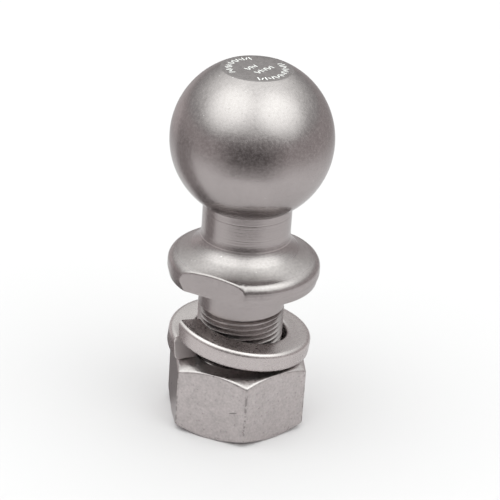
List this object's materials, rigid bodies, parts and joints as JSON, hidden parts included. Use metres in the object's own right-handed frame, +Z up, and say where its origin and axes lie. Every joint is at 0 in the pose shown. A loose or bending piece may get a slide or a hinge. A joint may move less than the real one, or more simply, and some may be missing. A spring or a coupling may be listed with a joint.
{
  "type": "threaded tow ball",
  "caption": "Tow ball on a threaded shank, with collar, split lock washer and hex nut, that bolts to a drawbar and carries a trailer coupler.",
  "frame": {"origin": "on the stud's axis, in the plane of the nut's lower face, which the part stands on", "axes": "+Z up along the stud through the ball, -Y the front, with one wrench flat of the collar to the front left, +X the right"},
  "size_m": [0.0588, 0.0588, 0.138],
  "materials": {
    "stud_steel": "satin plated forging",
    "washer_steel": "satin plated spring steel",
    "nut_steel": "satin plated steel"
  },
  "bodies": {
    "stud": {"ball_stud": "stud_steel"},
    "washer": {"lock_washer": "washer_steel"},
    "nut": {"hex_nut": "nut_steel"}
  },
  "joints": [
    {"name": "nut_travel", "type": "slide", "parent": "stud", "child": "washer", "axis": [0, 0, 1], "range_m": [-0.02, 0.0144]},
    {"name": "nut_spin", "type": "hinge", "parent": "washer", "child": "nut", "pos_m": [0, 0, 0.0135], "axis": [0, 0, 1], "range_deg": [-3400, 2448]}
  ],
  "couplings": [
    {"joint": "nut_travel", "follows": "nut_spin", "m_per_rad": 0.00033688}
  ]
}
